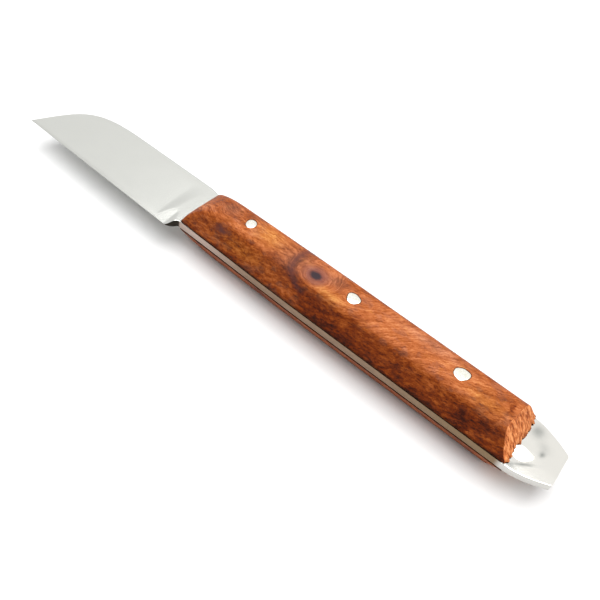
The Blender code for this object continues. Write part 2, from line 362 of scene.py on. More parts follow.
LOW_FULLNESS = 0.3                     # share of the shoulder's radius left where the nose is lowest
FRONT_SETBACK = 0.6 * MM
FRONT_SETBACK_LENGTH = 5.0 * MM
REAR_TURN = 0.12                       # of the rear face, towards the edge side
REAR_SIDE_ROUND = 0.9 * MM
CHIP_DEPTH = 1.1 * MM
CHIP_WIDTHS = (0.75 * MM, 2.6 * MM)    # of the chips and of the slower change in their depth
FRONT_UNEVENNESS = 0.22 * MM
SANDING_UNEVENNESS = 0.05 * MM
TORN_DEPTH = 0.13 * MM
TORN_WIDTHS = (0.9 * MM, 0.45 * MM)


def nose_height(x):
    """Height of the crown above the scale's base: an arc over the nose, then level."""
    rise = SCALE_HEIGHT - NOSE_LAND
    radius = (NOSE_LENGTH ** 2 + rise ** 2) / (2 * rise)
    before_level = max(NOSE_LENGTH - x, 0.0)
    return SCALE_HEIGHT - radius + math.sqrt(radius ** 2 - before_level ** 2)


def flank_point(step, x):
    """A flank point as (distance from the middle, height): up the flat side, then round the shoulder."""
    half_width = float(handle_half_width(x))
    height = nose_height(x)
    full_corner = CROWN_CORNER - 0.5 * (HANDLE_HALF_WIDTH - half_width)
    lean = math.atan2(half_width - full_corner, SCALE_HEIGHT)
    corner = half_width - math.tan(lean) * height
    turn = math.pi / 2 - lean
    fullness = LOW_FULLNESS + (1 - LOW_FULLNESS) * height / SCALE_HEIGHT
    radius = min(SHOULDER_RADIUS * fullness, 0.9 * height / math.cos(lean) / math.tan(turn / 2))
    crown_edge = corner - radius * math.tan(turn / 2)
    if step >= SIDE_STEPS:
        angle = turn * (1.0 - (step - SIDE_STEPS) / SHOULDER_STEPS)
        return crown_edge + radius * math.sin(angle), height - radius + radius * math.cos(angle)
    top_y = crown_edge + radius * math.sin(turn)
    top_height = height - radius + radius * math.cos(turn)
    share = step / SIDE_STEPS
    return half_width + (top_y - half_width) * share, top_height * share


FLANK_STEPS = SIDE_STEPS + SHOULDER_STEPS


def scale_lanes():
    """The lines that run along a scale, as (part of section, place in it) pairs round one section."""
    crown = [-1 + 2 * k / CROWN_STEPS for k in range(1, CROWN_STEPS)]
    lanes = [("near", step) for step in range(FLANK_STEPS + 1)]
    lanes += [("crown", t) for t in crown]
    lanes += [("far", step) for step in reversed(range(FLANK_STEPS + 1))]
    lanes += [("base", -t) for t in crown]
    return lanes


def lane_point(lane, x):
    """Where a lane crosses the section at x, as (y, height above the base)."""
    part, place = lane
    if part == "base":
        return float(handle_half_width(x)) * place, 0.0
    if part == "crown":
        crown_edge, height = flank_point(FLANK_STEPS, x)
        return crown_edge * place, height
    y, height = flank_point(place, x)
    return (-y if part == "near" else y), height


def front_setback(x, y):
    """The front end is rounded back in plan at its corner on the edge side."""
    return FRONT_SETBACK * max(-y / FRONT_HALF_WIDTH, 0.0) ** 3 * max(1.0 - x / FRONT_SETBACK_LENGTH, 0.0)


def rear_face_x(y, height):
    """The slanted rear face: turned a little towards the edge side and rounded off at both sides."""
    slant = (REAR_CHAMFER_LENGTH - REAR_TURN * y) * height / SCALE_HEIGHT
    rounded = REAR_SIDE_ROUND * smoothstep(4.5 * MM, 8.5 * MM, abs(y)) * smoothstep(0.0, 1.2 * MM, height)
    return HANDLE_LENGTH - slant - float(rounded)


def rear_chips(y, seed):
    """How far the wood's ragged rear edge is chipped back at y."""
    teeth = 0.5 + 0.5 * grain_noise(y, seed, 0.0, CHIP_WIDTHS[0])
    broad = 0.5 + 0.5 * grain_noise(y, seed + 0.01, 0.0, CHIP_WIDTHS[1])
    return CHIP_DEPTH * smoothstep(0.25, 0.75, teeth) * (0.25 + broad)


def scale_vertex(x, y, height, side, seed):
    """A point of a scale with the slight unevenness of hand sanding and its chipped rear edge."""
    near_rear = max(0.0, 1.0 - (HANDLE_LENGTH - x) / (1.5 * MM))
    near_base = max(0.0, 1.0 - height / (1.4 * MM))
    x -= float(rear_chips(y, seed)) * near_rear * near_base
    near_front = max(0.0, 1.0 - x / (1.2 * MM))
    x += FRONT_UNEVENNESS * (0.5 + 0.5 * grain_noise(y, seed, 0.02, 1.7 * MM)) * near_front
    x += front_setback(x, y)
    if height > 0.2 * MM:
        uneven = SANDING_UNEVENNESS * (grain_noise(x, y, seed, 9.0 * MM) - 1.0)
        height = max(height + uneven, 0.0)
    return x, y, side * (SCALE_BASE + height)


def rear_roughness(y, height, seed):
    """Torn end grain on the rear face."""
    coarse = grain_noise(y, height, seed + 0.03, TORN_WIDTHS[0])
    fine = 0.5 * grain_noise(y, height, seed + 0.05, TORN_WIDTHS[1])
    away_from_rim = smoothstep(0.0, 0.8 * MM, height) * smoothstep(0.0, 0.8 * MM, SCALE_HEIGHT - height)
    return TORN_DEPTH * (coarse + fine) * float(away_from_rim)


def make_scale(name, side, seed):
    lanes = scale_lanes()
    lane_count = len(lanes)
    nose = [NOSE_LENGTH * (1 - math.cos(math.pi / 2 * k / NOSE_STEPS)) for k in range(NOSE_STEPS)]
    rings = [[scale_vertex(x, *lane_point(lane, x), side, seed) for lane in lanes] for x in nose]
    ends = [rear_face_x(*lane_point(lane, HANDLE_LENGTH)) for lane in lanes]
    for k in range(BODY_STEPS + 1):
        ring = []
        for lane, end in zip(lanes, ends):
            x = NOSE_LENGTH + (end - NOSE_LENGTH) * k / BODY_STEPS
            ring.append(scale_vertex(x, *lane_point(lane, x), side, seed))
        rings.append(ring)
    verts = [point for ring in rings for point in ring]
    faces = []
    bridge_rings(rings, 0, faces)
    faces.append(tuple(range(lane_count)))

    # The slanted rear face, as rows from the base up to the crown.
    last = len(verts) - lane_count
    far_start = FLANK_STEPS + CROWN_STEPS
    base_start = far_start + FLANK_STEPS + 1
    rows = {}
    for row in range(1, FLANK_STEPS):
        half_width, height = flank_point(row, HANDLE_LENGTH)
        rows[row] = {}
        for column in range(1, CROWN_STEPS):
            y = -half_width * (1 - 2 * column / CROWN_STEPS)
            x = rear_face_x(y, height) + rear_roughness(y, height, seed)
            rows[row][column] = len(verts)
            verts.append(scale_vertex(x, y, height, side, seed))

    def rear_index(row, column):
        if column == 0:
            return last + row
        if column == CROWN_STEPS:
            return last + far_start + FLANK_STEPS - row
        if row == FLANK_STEPS:
            return last + FLANK_STEPS + column
        if row == 0:
            return last + base_start + CROWN_STEPS - 1 - column
        return rows[row][column]

    for row in range(FLANK_STEPS):
        for column in range(CROWN_STEPS):
            faces.append((
                rear_index(row, column), rear_index(row, column + 1),
                rear_index(row + 1, column + 1), rear_index(row + 1, column),
            ))
    return make_object(name, verts, faces)


# ---------------------------------------------------------------- the peened pins

class Pin:
    """A pin's place and the uneven outline of its peened heads."""

    def __init__(self, node, waves):
        low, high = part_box(node)
        self.node = node
        self.x = (low.x + high.x) / 2 - ORIGIN.x
        self.y = (low.y + high.y) / 2 - ORIGIN.y
        self.radius = (high.x - low.x) / 2
        self.waves = waves

    def outline(self, angle):
        """Radius of the head at an angle; each wave is (count round the head, depth, turn)."""
        change = sum(depth * math.cos(count * angle - turn) for count, depth, turn in self.waves)
        return self.radius * (1.0 + change)


PINS = (
    Pin("front_pin", ((2, 0.09, 3.5), (3, 0.02, 1.2))),
    Pin("middle_pin", ((2, 0.05, 5.6), (3, 0.07, 1.1), (5, 0.03, 1.4))),
    Pin("rear_pin", ((2, 0.07, 1.2), (3, 0.05, 2.1), (4, 0.02, 1.7), (6, 0.02, 4.4))),
)
PIN_SIDES = 72
RING_GAP = 0.17 * MM
PIN_RECESS = 0.12 * MM                 # of a head's rim below the crown
PIN_DOME = 0.05 * MM
SHANK_RADIUS = 1.4 * MM
HEAD_DEPTH = 0.35 * MM                 # of its straight rim, and of the cone down to the shank
CONE_DEPTH = 1.7 * MM
HEAD_PROFILE = (                       # (share of the radius, drop as a share of the dome)
    (0.12, 0.0), (0.35, 0.04), (0.58, 0.14), (0.78, 0.32), (0.91, 0.58), (0.98, 0.85), (1.0, 1.3),
)


def pin_ring(pin, share, z, grow=0.0):
    """One ring of a pin; share scales its outline and grow widens it."""
    points = []
    for k in range(PIN_SIDES):
        angle = 2 * math.pi * k / PIN_SIDES
        radius = pin.outline(angle) * share + grow
        points.append((pin.x + radius * math.cos(angle), pin.y + radius * math.sin(angle), z))
    return points


def make_pin(pin):
    """A full-length pin: domed uneven heads, spread cones and a straight shank."""
    top = CROWN_TOP - PIN_RECESS
    rings = [pin_ring(pin, share, top + PIN_DOME * (1.0 - drop)) for share, drop in HEAD_PROFILE]
    rings.append(pin_ring(pin, 1.0, top - HEAD_DEPTH))
    rings.append(pin_ring(pin, SHANK_RADIUS / pin.radius, top - CONE_DEPTH))
    lower = [[(x, y, -z) for x, y, z in ring] for ring in reversed(rings)]
    rings += lower
    verts = [point for ring in rings for point in ring]
    faces = []
    bridge_rings(rings, 0, faces)
    faces.append(tuple(range(PIN_SIDES)))
    faces.append(tuple(range(len(verts) - PIN_SIDES, len(verts))))
    return make_object(pin.node + "_peened", verts, faces)


DRILL_REACH = 12.0 * MM                # from the middle plane to past a scale's crown


def drill(target, pin):
    """Cut the pin's uneven hole through a scale or the tang."""
    rings = [pin_ring(pin, 1.0, z, RING_GAP) for z in (-DRILL_REACH, DRILL_REACH)]
    verts = rings[0] + rings[1]
    faces = []
    bridge_rings(rings, 0, faces)
    faces.append(tuple(range(PIN_SIDES)))
    faces.append(tuple(range(PIN_SIDES, 2 * PIN_SIDES)))
    cutter = make_object("drill", verts, faces)
    boolean = target.modifiers.new("hole", "BOOLEAN")
    boolean.operation = "DIFFERENCE"
    boolean.solver = "EXACT"
    boolean.object = cutter
    apply_modifiers(target)
    bpy.data.objects.remove(cutter, do_unlink=True)


# ---------------------------------------------------------------- materials

class Surface:
    """A node material whose patterns are placed in millimetres of knife coordinates."""

    def __init__(self, name):
        self.material = bpy.data.materials.new(name)
        self.material.use_nodes = True
        self.tree = self.material.node_tree
        self.shader = self.tree.nodes["Principled BSDF"]

    def add(self, kind, *values, **settings):
        """Add a node, set its properties, then fill its inputs in order; returns the node."""
        node = self.tree.nodes.new(kind)
        for key, value in settings.items():
            setattr(node, key, value)
        sockets = [socket for socket in node.inputs if socket.enabled]
        for socket, value in zip(sockets, values):
            self.feed(socket, value)
        return node

    def feed(self, socket, value):
        if isinstance(value, bpy.types.NodeSocket):
            self.tree.links.new(value, socket)
        elif value is not None:
            socket.default_value = value

    def math(self, operation, *values):
        return self.add("ShaderNodeMath", *values, operation=operation).outputs[0]

    def times(self, a, b):
        return self.math("MULTIPLY", a, b)

    def minus(self, a, b):
        return self.math("SUBTRACT", a, b)

    def larger(self, a, b):
        return self.math("MAXIMUM", a, b)

    def total(self, *values):
        result = values[0]
        for value in values[1:]:
            result = self.math("ADD", result, value)
        return result

    def smooth(self, value, low, high, to_low=0.0, to_high=1.0):
        """Ease from to_low to to_high while value goes from low to high."""
        node = self.add("ShaderNodeMapRange", value, interpolation_type="SMOOTHSTEP")
        for key, number in (("From Min", low), ("From Max", high), ("To Min", to_low), ("To Max", to_high)):
            self.feed(node.inputs[key], number)
        return node.outputs[0]

    def place(self, shift=0.0):
        """x, y and z of the shaded point in millimetres of knife coordinates."""
        metres = self.add("ShaderNodeTexCoord").outputs["Object"]
        moved = self.add("ShaderNodeVectorMath", metres, tuple(ORIGIN), operation="SUBTRACT").outputs[0]
        scaled = self.add("ShaderNodeVectorMath", moved, (1 / MM,) * 3, operation="MULTIPLY").outputs[0]
        x, y, z = self.add("ShaderNodeSeparateXYZ", scaled).outputs
        return (self.total(x, shift) if shift else x), y, z

    def normal(self):
        """x, y and z of the surface's normal."""
        normal = self.add("ShaderNodeNewGeometry").outputs["Normal"]
        return self.add("ShaderNodeSeparateXYZ", normal).outputs

    def noise(self, parts, rates, detail=3.0, roughness=0.55):
        """Noise between 0 and 1; rates are its features per millimetre along each part."""
        scaled = [self.times(part, rate) for part, rate in zip(parts, rates)]
        vector = self.add("ShaderNodeCombineXYZ", *scaled).outputs[0]
        node = self.add("ShaderNodeTexNoise", vector)
        node.inputs["Scale"].default_value = 1.0
        node.inputs["Detail"].default_value = detail
        node.inputs["Roughness"].default_value = roughness
        return node.outputs[0]

    def spot(self, u, v, place, size):
        """A soft elliptical spot: 1 at its place, falling away over its size."""
        along = self.math("DIVIDE", self.minus(u, place[0]), size[0])
        across = self.math("DIVIDE", self.minus(v, place[1]), size[1])
        return self.math("EXPONENT", self.times(self.squares(along, across), -1.0))

    def squares(self, a, b):
        """The sum of two squares."""
        return self.total(self.times(a, a), self.times(b, b))

    def mix(self, share, a, b):
        """Colour a where share is 0, colour b where it is 1."""
        node = self.tree.nodes.new("ShaderNodeMix")
        node.data_type = "RGBA"
        for socket, value in ((node.inputs[0], share), (node.inputs[6], a), (node.inputs[7], b)):
            self.feed(socket, (*value, 1.0) if isinstance(value, tuple) else value)
        return node.outputs[2]

    def darken(self, color, factor):
        """Multiply a colour by a number that varies over the surface."""
        return self.add("ShaderNodeVectorMath", color, factor, operation="SCALE").outputs[0]

    def ramp(self, value, stops):
        node = self.add("ShaderNodeValToRGB", value)
        elements = node.color_ramp.elements
        while len(elements) < len(stops):
            elements.new(0.5)
        for element, (place, color) in zip(elements, stops):
            element.position = place
            element.color = (*color, 1.0)
        return node.outputs[0]

    def bump(self, height, depth, strength=1.0):
        """Relief from a height between 0 and 1; depth is what 1 stands for."""
        node = self.add("ShaderNodeBump")
        self.feed(node.inputs["Strength"], strength)
        self.feed(node.inputs["Distance"], depth)
        self.feed(node.inputs["Height"], height)
        self.feed(self.shader.inputs["Normal"], node.outputs[0])

    def finish(self, color, roughness, metallic=0.0, specular=0.5):
        self.feed(self.shader.inputs["Base Color"], color)
        self.feed(self.shader.inputs["Roughness"], roughness)
        self.shader.inputs["Metallic"].default_value = metallic
        self.shader.inputs["Specular IOR Level"].default_value = specular
        return self.material


WOOD_TONES = (
    (0.00, (0.014, 0.003, 0.002)),
    (0.22, (0.056, 0.008, 0.002)),
    (0.42, (0.148, 0.023, 0.002)),
    (0.60, (0.262, 0.058, 0.008)),
    (0.78, (0.410, 0.114, 0.032)),
    (1.00, (0.600, 0.235, 0.088)),
)
DUSTY_TONES = (               # the same steps where the wood is pinkish and less saturated
    (0.00, (0.016, 0.006, 0.005)),
    (0.30, (0.080, 0.026, 0.014)),
    (0.58, (0.242, 0.074, 0.032)),
    (0.80, (0.430, 0.150, 0.070)),
    (1.00, (0.620, 0.270, 0.140)),
)
KNOT = (41.5, -1.3)           # millimetres along the handle and across its crown
BOW = (43.5, 0.4)             # centre of the dark curved band in front of the knot
BOW_RADIUS = 9.0

# The wood's figure: (along, across), (half length, half width) and how much lighter or darker it is.
FIGURE = (
    ((8.5, 0.0), (6.5, 5.0), -0.18),
    ((4.0, 1.6), (3.5, 2.4), -0.10),
    ((24.8, 0.6), (5.0, 3.6), 0.06),
    ((34.5, -1.0), (5.0, 5.0), -0.15),
    ((34.5, -4.8), (5.5, 1.6), -0.14),
    ((30.6, -2.4), (1.6, 1.8), -0.08),
    ((46.0, 1.0), (3.6, 2.2), -0.13),
    ((48.0, -4.4), (4.0, 1.5), 0.13),
    ((80.0, 1.0), (4.5, 3.0), 0.04),
    ((93.5, 0.0), (6.0, 4.0), -0.05),
    ((98.2, 0.2), (0.6, 2.0), -0.30),
    ((95.5, -4.0), (3.0, 0.7), -0.16),
    ((13.4, -7.4), (2.6, 1.2), -0.14),
    ((22.0, -5.4), (5.0, 0.8), -0.12),
    ((10.0, -11.0), (4.0, 1.4), 0.06),
    ((24.0, -12.8), (6.0, 1.2), -0.10),
    ((36.0, -10.6), (4.5, 1.8), 0.08),
    ((39.0, -7.6), (3.2, 1.1), -0.18),
    ((48.5, -11.0), (7.0, 2.6), -0.12),
    ((60.0, -11.8), (12.0, 1.8), -0.07),
    ((78.0, -12.8), (8.0, 1.4), -0.06),
    ((55.0, -6.6), (3.0, 0.7), -0.10),
    ((80.0, -8.0), (3.5, 1.2), 0.08),
    ((90.8, -10.4), (3.6, 2.2), -0.22),
    ((97.0, -8.6), (2.4, 1.6), -0.12),
    ((94.0, -13.3), (2.2, 0.8), 0.22),
)
GOLDEN = (
    ((24.8, 0.4), (5.2, 3.8)),
    ((48.5, -4.2), (4.5, 1.8)),
    ((21.0, -9.0), (8.0, 2.6)),
    ((93.0, -2.6), (5.0, 2.6)),
)
DUSTY = (
    ((11.0, 1.0), (3.5, 2.6)),
    ((35.0, -0.6), (5.5, 5.2)),
    ((46.0, 1.4), (3.6, 2.2)),
    ((75.0, 2.5), (9.0, 1.6)),
)
STAIN = ((13.4, -7.3), (2.4, 1.1))
STAIN_COLOR = (0.095, 0.032, 0.026)
KNOT_VIOLET = (0.165, 0.060, 0.052)
KNOT_CORE = (0.028, 0.021, 0.027)
BOW_COLOR = (0.130, 0.044, 0.040)
GOLDEN_TINT = (1.0, 1.16, 0.72)
END_GRAIN_TONES = (
    (0.00, (0.24, 0.055, 0.014)),
    (0.40, (0.55, 0.150, 0.042)),
    (1.00, (0.88, 0.350, 0.130)),
)
MEAN_TONE = 0.735
UNROLLED = 0.8                # how far across a flank counts for each millimetre of its height


class HandleWood(Surface):
    """Oiled reddish wood with slanting grain, a dark knot and open pores; painted shade darkens its flanks
    and its base along the steel.
    """

    def __init__(self, name, shift, rear_flank_shade_tone):
        super().__init__(name)
        self.rear_flank_shade_tone = rear_flank_shade_tone
        self.set_places(shift)
        self.set_knot_and_bow()
        self.set_grain()
        self.set_layers()

    def set_places(self, shift):
        """Places along (x) and across (v) the unrolled wood, and both again with a wander."""
        self.x, self.y, self.z = x, y, z = self.place(shift)
        crown_drop = self.minus(CROWN_TOP / MM, self.math("ABSOLUTE", z))
        side = self.smooth(y, -2.5, 2.5, -1.0, 1.0)
        unrolled = self.times(side, self.times(crown_drop, UNROLLED))
        self.v = v = self.total(y, unrolled)
        self.out = self.math("ABSOLUTE", v)
        waves_u = self.noise((x, v, z), (0.33, 0.33, 0.1), 4, 0.6)
        waves_v = self.noise((v, x, z), (0.37, 0.37, 0.1), 4, 0.6)
        self.wander_u = self.math("MULTIPLY_ADD", waves_u, 5.0, -2.5)
        self.wander_v = self.math("MULTIPLY_ADD", waves_v, 4.0, -2.0)
        self.u2 = self.total(x, self.wander_u)
        self.v2 = self.total(v, self.wander_v)

    def patch(self, place, size):
        """A soft spot without a drawn edge."""
        return self.spot(self.u2, self.v2, place, size)

    def from_centre(self, centre, wander, stretch):
        """The offset along the handle from a centre, and the distance from it."""
        u = self.minus(self.math("MULTIPLY_ADD", self.wander_u, wander, self.x), centre[0])
        v = self.minus(self.math("MULTIPLY_ADD", self.wander_v, wander, self.v), centre[1])
        v = self.times(v, stretch)
        return u, self.math("SQRT", self.squares(u, v))

    def set_knot_and_bow(self):
        """The distance from the knot, and how strong the dark bow in front of it is."""
        self.knot_u, self.knot_distance = self.from_centre(KNOT, 0.30, 1.20)
        bow_u, distance = self.from_centre(BOW, 0.35, 1.0)
        from_bow = self.minus(distance, BOW_RADIUS)
        falling = self.times(self.times(from_bow, from_bow), -0.9)
        self.bow = self.times(self.math("EXPONENT", falling), self.smooth(bow_u, 0.0, -5.0))

    def set_grain(self):
        """The place across the grain, which slants over the nose and the rear and wraps round the knot."""
        behind_pin = self.smooth(self.x, 50.0, 84.0, 0.0, 34.0)
        past_rear_pin = self.larger(self.minus(self.x, 80.0), 0.0)
        on_nose = self.math("MINIMUM", self.minus(self.x, 11.0), 0.0)
        rear_slant = self.total(self.times(behind_pin, 0.70), self.times(past_rear_pin, 0.42))
        front_slant = self.times(on_nose, -0.60)
        straight = self.minus(self.minus(self.v, rear_slant), front_slant)
        straight = self.total(straight, self.times(self.wander_v, 0.7))
        round_knot = self.smooth(self.knot_distance, 4.5, 9.0, 1.0, 0.0)
        ring_line = self.times(self.knot_distance, 1.25)
        self.grain = self.math("MULTIPLY_ADD", round_knot, self.minus(ring_line, straight), straight)

    def set_layers(self):
        """Patterns between 0 and 1, from broad bands to fine streaks, mottling and pores."""
        x, v, z, grain = self.x, self.v, self.z, self.grain
        leaning = self.math("MULTIPLY_ADD", x, -0.15, v)
        self.broad = self.smooth(self.noise((x, grain, z), (0.09, 0.45, 0.1), 3, 0.5), 0.32, 0.68)
        self.patches = self.noise((x, v, z), (0.26, 0.40, 0.1), 4, 0.6)
        self.streaks = self.smooth(self.noise((x, grain, z), (0.16, 1.5, 0.3), 4, 0.7), 0.38, 0.62)
        self.fine = self.smooth(self.noise((x, grain, z), (0.45, 3.0, 1.0), 4, 0.75), 0.38, 0.62)
        self.mottle = self.smooth(self.noise((x, leaning, z), (0.48, 0.95, 0.3), 5, 0.75), 0.36, 0.64)
        self.nose_lines = self.smooth(self.noise((x, grain, z), (0.12, 1.25, 0.1), 2, 0.5), 0.42, 0.58)

        on_flank = self.smooth(self.out, 4.0, 7.5, 0.35, 1.0)
        self.mottled_part = self.larger(on_flank, self.spot(x, v, (22.0, -6.0), (16.0, 8.0)))
        # Painted shade, partly darker figure: the rear part of the flanks, darkened or lightened by each
        # scale's tone.
        self.shaded_rear_flank = self.times(self.smooth(self.u2, 38.0, 46.0), self.smooth(self.out, 5.5, 8.0))

        # Open pores: short dark dashes along the grain, and round flecks where the wood is mottled.
        dashes = self.smooth(self.noise((x, grain, z), (0.9, 3.0, 2.0), 2, 0.5), 0.57, 0.65)
        flecks = self.smooth(self.noise((x, v, z), (1.0, 2.0, 2.0), 3, 0.65), 0.57, 0.65)
        flecks = self.times(flecks, self.mottled_part)
        self.pores = self.larger(self.times(dashes, 0.55), flecks)

    def tone(self):
        """How light the wood is, from 0 to 1, with painted shade down the flanks."""
        streaked_part = self.minus(1.25, self.mottled_part)
        nose_part = self.spot(self.x, self.v, (3.0, -2.6), (5.5, 3.4))
        tone = MEAN_TONE
        for value, weight in (
            (self.broad, 0.10),
            (self.smooth(self.patches, 0.32, 0.68), 0.13),
            (self.nose_lines, self.times(nose_part, 0.50)),
            (self.streaks, self.times(streaked_part, 0.18)),
            (self.fine, self.times(streaked_part, 0.17)),
            (self.mottle, self.times(self.mottled_part, 0.25)),
        ):
            tone = self.math("MULTIPLY_ADD", self.minus(value, 0.5), weight, tone)
        for centre, size, strength in FIGURE:
            tone = self.math("MULTIPLY_ADD", self.patch(centre, size), strength, tone)
        # Painted shade: the wood is darkened down the flanks away from the crown, darker still towards the
        # base of the flank, and on the rear part of the flanks by each scale's rear-flank shade tone.
        uneven_out = self.total(self.out, self.times(self.wander_v, 0.4))
        tone = self.total(
            self.smooth(uneven_out, 2.6, 6.6, 0.0, -0.17),
            self.times(self.shaded_rear_flank, self.rear_flank_shade_tone),
            self.smooth(self.out, 11.3, 13.8, 0.0, -0.09),
            tone,
        )

        # The dark bow in front of the knot, and dark and light rings between the two.
        tone = self.math("MULTIPLY_ADD", self.bow, -0.22, tone)
        turns = self.times(self.knot_distance, 3.1)
        rings = self.math("SINE", self.math("MULTIPLY_ADD", self.wander_v, 0.9, turns))
        near_knot = self.smooth(self.knot_distance, 2.5, 8.0, 1.0, 0.0)
        ring_depth = self.times(near_knot, self.smooth(self.knot_u, 3.0, -5.0, 0.03, 0.10))
        tone = self.math("MULTIPLY_ADD", rings, ring_depth, tone)
        return self.math("MULTIPLY_ADD", self.pores, -0.22, tone)

    def hues(self, tone):
        """The tone's colour: pinkish round the knot and over the nose, golden in places."""
        dusty = self.smooth(self.patches, 0.52, 0.36, 0.0, 0.60)
        for centre, size in DUSTY:
            dusty = self.larger(dusty, self.patch(centre, size))
        dusty = self.times(dusty, self.smooth(self.shaded_rear_flank, 0.0, 1.0, 1.0, 0.25))
        color = self.mix(dusty, self.ramp(tone, WOOD_TONES), self.ramp(tone, DUSTY_TONES))

        drift = self.noise((self.x, self.v, self.z), (0.50, 0.75, 0.2), 5, 0.7)
        golden = self.smooth(drift, 0.54, 0.70, 0.0, 0.55)
        for centre, size in GOLDEN:
            golden = self.larger(golden, self.times(self.patch(centre, size), 0.75))
        golden_color = self.add("ShaderNodeVectorMath", color, GOLDEN_TINT, operation="MULTIPLY").outputs[0]
        return self.mix(golden, color, golden_color)

    def with_knot(self, color):
        """Add the knot's violet-brown rings and blue-black core, the bow and a stain behind the nose."""
        violet = self.smooth(self.knot_distance, 1.8, 5.0, 0.85, 0.0)
        violet = self.times(violet, self.smooth(self.streaks, 0.0, 1.0, 0.65, 1.0))
        color = self.mix(violet, color, KNOT_VIOLET)
        color = self.mix(self.times(self.bow, 0.40), color, BOW_COLOR)
        color = self.mix(self.patch(*STAIN), color, STAIN_COLOR)
        return self.mix(self.smooth(self.knot_distance, 0.9, 2.2, 0.95, 0.0), color, KNOT_CORE)

    def build(self):
        color = self.with_knot(self.hues(self.tone()))

        # Torn end grain on the slanted rear face.
        end_grain = self.smooth(self.normal()[0], 0.35, 0.6)
        crumbs = self.smooth(self.noise((self.x, self.y, self.z), (0.35, 1.3, 0.45), 4, 0.7), 0.34, 0.66)
        color = self.mix(end_grain, color, self.ramp(crumbs, END_GRAIN_TONES))

        # Painted shade: the wood darkens towards its base along the steel, held lighter on the rear face.
        base = SCALE_BASE / MM
        seam_shade = self.smooth(self.math("ABSOLUTE", self.z), base + 0.05, base + 0.7, 0.40, 1.0)
        seam_shade = self.larger(seam_shade, self.times(end_grain, 0.8))
        color = self.darken(color, seam_shade)

        relief = self.math("MULTIPLY_ADD", self.fine, 0.35, self.times(self.streaks, 0.3))
        relief = self.math("MULTIPLY_ADD", self.pores, -0.7, relief)
        relief = self.math("MULTIPLY_ADD", end_grain, self.times(crumbs, 3.0), relief)
        self.bump(relief, 0.05 * MM, 0.6)
        torn = self.times(end_grain, 0.25)
        roughness = self.total(self.times(self.streaks, 0.10), torn, 0.40)
        return self.finish(color, roughness, specular=0.08)


BLADE_COLOR = (0.725, 0.73, 0.69)
TAIL_COLOR = (0.92, 0.90, 0.84)
REFLECTION_GREY = (0.20, 0.22, 0.21)
UNDER_SCALES_SHADE = (0.035, 0.022, 0.014)
TANG_DARK, TANG_LIGHT = (0.175, 0.115, 0.072), (0.32, 0.225, 0.160)
TANG_FRONT, TANG_REAR = (0.44, 0.345, 0.295), (0.21, 0.145, 0.072)
BARE_WALL = (0.50, 0.50, 0.47)
CHOIL_SHADE_COLOR = (0.030, 0.026, 0.020)
TAIL_WALL = (0.56, 0.55, 0.52)
FAR_ARRIS_SHADE_COLOR = (0.26, 0.26, 0.25)

# Painted reflections on the tail, grey patches that stand in for the darker surroundings the polished steel
# reflects: (along, across), (half length, half width) and strength.
TAIL_REFLECTION_PATCHES = (
    ((105.9, 5.4), (1.6, 2.0), 0.55),
    ((109.2, 0.2), (0.7, 0.9), 0.60),
    ((109.0, 2.2), (1.6, 1.6), 0.22),
    ((104.6, -7.6), (1.4, 0.9), 0.50),
)
REFLECTION_LINE_SLOPE = 0.75       # one more painted reflection is a dark thin line, which rises this much towards the tail's end
DARK_REFLECTION_LINE = ((107.0, -85.5), (1.9, 0.45), 0.60)


